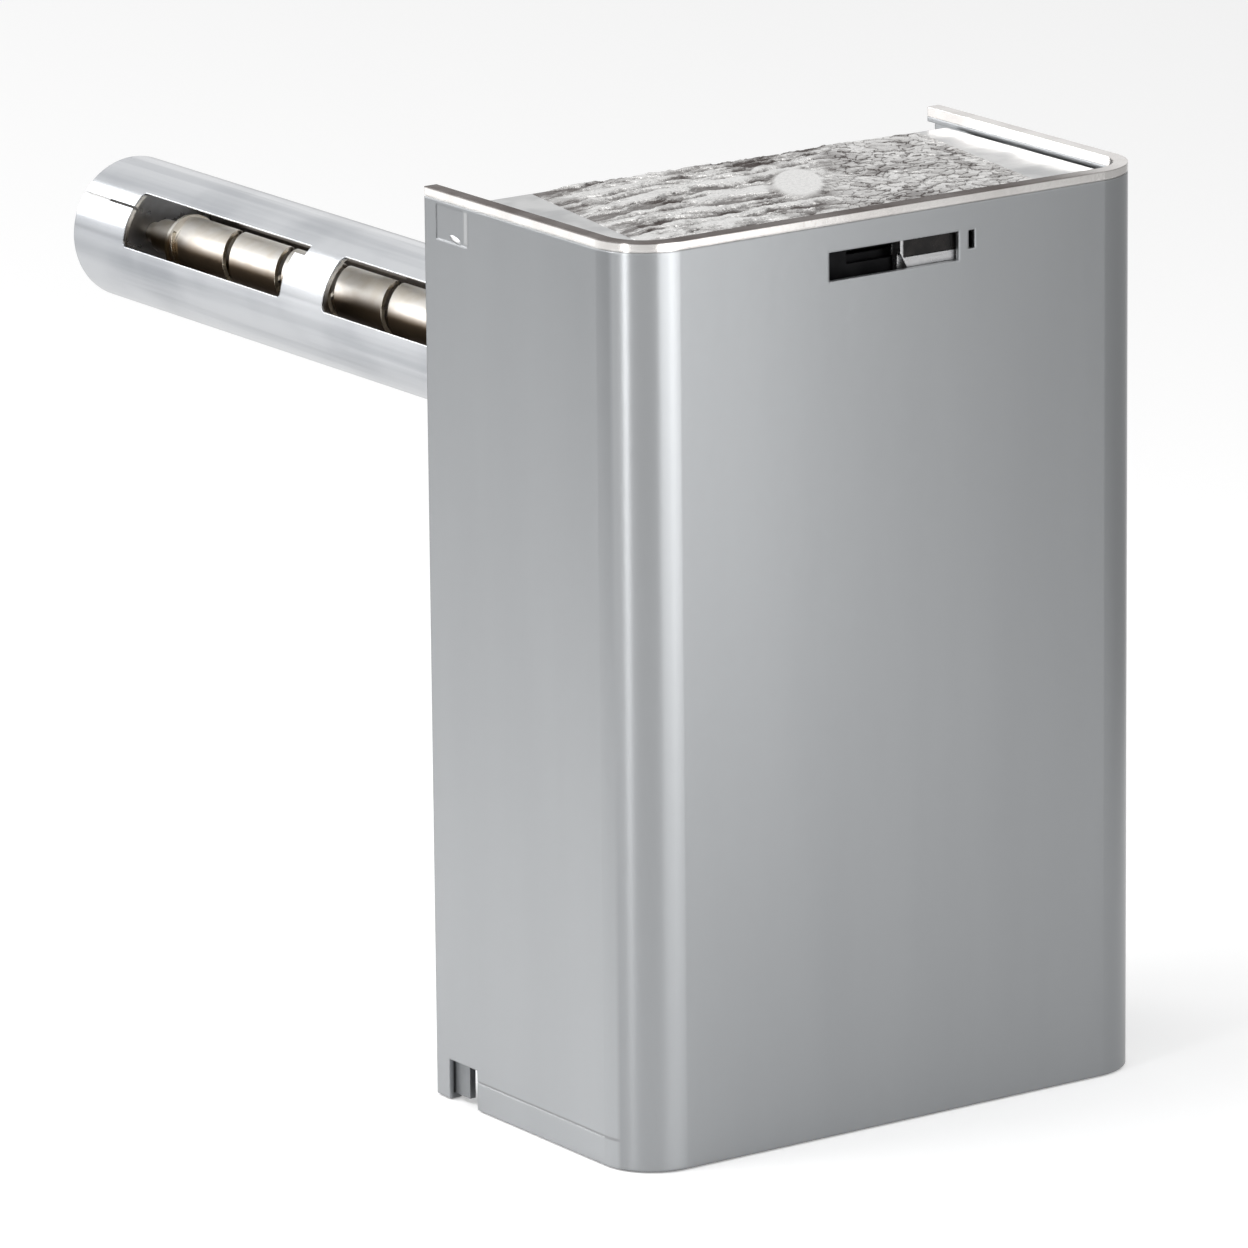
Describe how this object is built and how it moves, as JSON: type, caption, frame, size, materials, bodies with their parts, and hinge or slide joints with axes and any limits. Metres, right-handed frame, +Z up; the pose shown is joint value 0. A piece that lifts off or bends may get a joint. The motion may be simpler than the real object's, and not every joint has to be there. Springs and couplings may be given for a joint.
{
  "type": "furnace fan and limit control",
  "caption": "Duct thermostat switch: pressed steel case with a foil-lined top, a front slide switch and a slotted rear probe that holds a wound bimetal element.",
  "frame": {"origin": "on the probe axis, in the plane of the case's rear edges, which meet the duct wall", "axes": "+Y along the probe into the duct, +Z up, +X to the right seen from the front"},
  "size_m": [0.108, 0.2386, 0.16],
  "materials": {
    "cover": "satin silver-grey enamel",
    "rim": "bright plated strip",
    "chassis": "zinc-plated sheet steel",
    "foil": "crinkled aluminium foil",
    "probe": "bright plated rolled steel",
    "bimetal": "bronze-brown bimetal ribbon",
    "probe_fittings": "plated steel",
    "post": "turned brass, bright collar",
    "fasteners": "zinc-plated steel",
    "ground": "green-dyed zinc plate",
    "shaft": "ground steel",
    "bearing": "sintered bronze",
    "dial": "satin aluminium",
    "fan_tabs": "blue enamel",
    "limit_tab": "red enamel",
    "sheet_parts": "zinc-plated sheet steel",
    "mouldings": "dark phenolic moulding",
    "plungers": "natural nylon",
    "contacts": "brass strip",
    "rail": "black phosphate",
    "carrier": "bright plated sheet",
    "cap": "dark glossy plastic"
  },
  "bodies": {
    "case": {"cover_shell": "cover", "cover_rim": "rim", "chassis": "chassis", "knockout_disc": "chassis", "foil_liner": "foil", "probe_tube": "probe", "probe_flange": "probe_fittings", "anchor_plate": "probe_fittings", "anchor_post": "post", "cover_screws": "fasteners", "flange_rivets": "fasteners", "bracket_screws": "fasteners", "lever_pins": "fasteners", "terminal_screws": "fasteners", "block_screws": "fasteners", "ground_screw": "ground", "shaft_bearings": "bearing", "dial_pointer": "sheet_parts", "switch_bracket": "sheet_parts", "fan_switch": "mouldings", "limit_switch": "mouldings", "fan_terminal_block": "mouldings", "limit_terminal_block": "mouldings", "fan_straps": "contacts", "limit_straps": "contacts", "jumper_link": "contacts", "slider_rail": "rail"},
    "dial": {"dial": "dial", "shaft": "shaft", "helix_hub": "probe_fittings", "bimetal_helix": "bimetal", "hub_screw": "fasteners", "dial_washer": "fasteners", "dial_screw": "fasteners"},
    "fan_off_tab": {"fan_off_tab": "fan_tabs"},
    "fan_on_tab": {"fan_on_tab": "fan_tabs"},
    "limit_tab": {"limit_tab": "limit_tab"},
    "fan_lever": {"fan_lever": "sheet_parts"},
    "fan_plunger": {"fan_plunger": "plungers"},
    "limit_lever": {"limit_lever": "sheet_parts"},
    "limit_plunger": {"limit_plunger": "plungers"},
    "fan_slider": {"fan_slider": "carrier", "slider_cap": "cap", "override_arm": "sheet_parts"}
  },
  "joints": [
    {"name": "dial_turn", "type": "hinge", "parent": "case", "child": "dial", "pos_m": [0, 0, 0], "axis": [0, 1, 0], "range_deg": [-20, 160], "stiffness_Nm_per_rad": 0.02, "deforming": ["bimetal_helix"]},
    {"name": "fan_off_setting", "type": "hinge", "parent": "dial", "child": "fan_off_tab", "pos_m": [0, 0, 0], "axis": [0, 1, 0], "range_deg": [-8, 8]},
    {"name": "fan_on_setting", "type": "hinge", "parent": "dial", "child": "fan_on_tab", "pos_m": [0, 0, 0], "axis": [0, 1, 0], "range_deg": [-8, 8]},
    {"name": "limit_setting", "type": "hinge", "parent": "dial", "child": "limit_tab", "pos_m": [0, 0, 0], "axis": [0, 1, 0], "range_deg": [-15, 15]},
    {"name": "fan_lever_tilt", "type": "hinge", "parent": "case", "child": "fan_lever", "pos_m": [-0.036, -0.034, 0.028], "axis": [0, 1, 0], "range_deg": [0, 4], "stiffness_Nm_per_rad": 0.05, "springref_deg": -5.73},
    {"name": "fan_plunger_press", "type": "slide", "parent": "case", "child": "fan_plunger", "axis": [-1, 0, 0], "range_m": [0, 0.0013]},
    {"name": "limit_lever_tilt", "type": "hinge", "parent": "case", "child": "limit_lever", "pos_m": [0.036, -0.034, 0.028], "axis": [0, -1, 0], "range_deg": [0, 4], "stiffness_Nm_per_rad": 0.05, "springref_deg": -5.73},
    {"name": "limit_plunger_press", "type": "slide", "parent": "case", "child": "limit_plunger", "axis": [1, 0, 0], "range_m": [0, 0.0013]},
    {"name": "fan_slider_travel", "type": "slide", "parent": "case", "child": "fan_slider", "axis": [1, 0, 0], "range_m": [-0.012, 0]}
  ],
  "couplings": [
    {"joint": "fan_plunger_press", "follows": "fan_lever_tilt", "m_per_rad": 0.018621},
    {"joint": "limit_plunger_press", "follows": "limit_lever_tilt", "m_per_rad": 0.018621}
  ]
}
